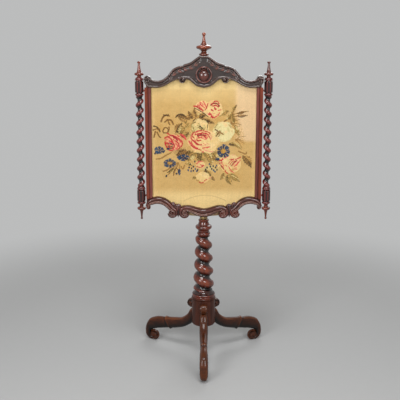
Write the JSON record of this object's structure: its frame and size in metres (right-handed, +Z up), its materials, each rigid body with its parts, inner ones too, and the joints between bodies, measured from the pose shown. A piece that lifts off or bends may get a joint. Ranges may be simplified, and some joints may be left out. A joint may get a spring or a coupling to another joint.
{
  "type": "pole screen",
  "caption": "Free-standing fire screen: carved banner with a framed needlework panel and twisted side columns, swivelling on a pole above a twisted stem and a tripod of scroll legs.",
  "frame": {"origin": "on the floor, at the centre of the whole part's box; the pole's axis stands at y = 0.0730 m", "axes": "+Z up along the pole, the banner's front faces -Y, +X to the right of someone who looks at the front"},
  "size_m": [0.5732, 0.482, 1.42],
  "materials": {
    "mahogany_carved": "aged dark polish, worn on the high points",
    "mahogany_polished": "red-brown gloss polish",
    "pine": "bare, darkened by age",
    "brass": "dull, tarnished",
    "iron": "dull, blackened",
    "needlework": "matt wool stitches",
    "backing_cloth": "matt plain cotton"
  },
  "bodies": {
    "stand": {"stem": "mahogany_polished", "hub": "mahogany_carved", "front_leg": "mahogany_carved", "left_leg": "mahogany_carved", "right_leg": "mahogany_carved", "hub_plate": "iron", "hub_plate_screws": "iron", "pole": "mahogany_carved", "pole_finial": "mahogany_polished"},
    "collar": {"height_collar": "brass"},
    "screw": {"thumbscrew": "brass"},
    "banner": {"crest_rail": "mahogany_carved", "crest_roundel": "mahogany_carved", "apron": "mahogany_carved", "bottom_rail": "pine", "left_stile": "mahogany_polished", "right_stile": "mahogany_polished", "left_column": "mahogany_polished", "right_column": "mahogany_polished", "left_top_finial": "mahogany_polished", "right_top_finial": "mahogany_polished", "left_pendant": "mahogany_polished", "right_pendant": "mahogany_polished", "column_dowels": "pine", "panel_board": "pine", "needlework": "needlework", "backing_cloth": "backing_cloth", "backing_tacks": "brass", "upper_bracket": "brass", "lower_bracket": "brass", "bracket_screws": "brass"}
  },
  "joints": [
    {"name": "collar_slide", "type": "slide", "parent": "stand", "child": "collar", "axis": [0, 0, 1], "range_m": [0, 0.025]},
    {"name": "banner_swivel", "type": "hinge", "parent": "collar", "child": "banner", "pos_m": [0, 0.07299, 0.64], "axis": [0, 0, 1], "continuous": true},
    {"name": "thumbscrew_turn", "type": "hinge", "parent": "collar", "child": "screw", "pos_m": [0, 0.07299, 0.6329], "axis": [0, 1, 0], "range_deg": [0, 360]}
  ]
}
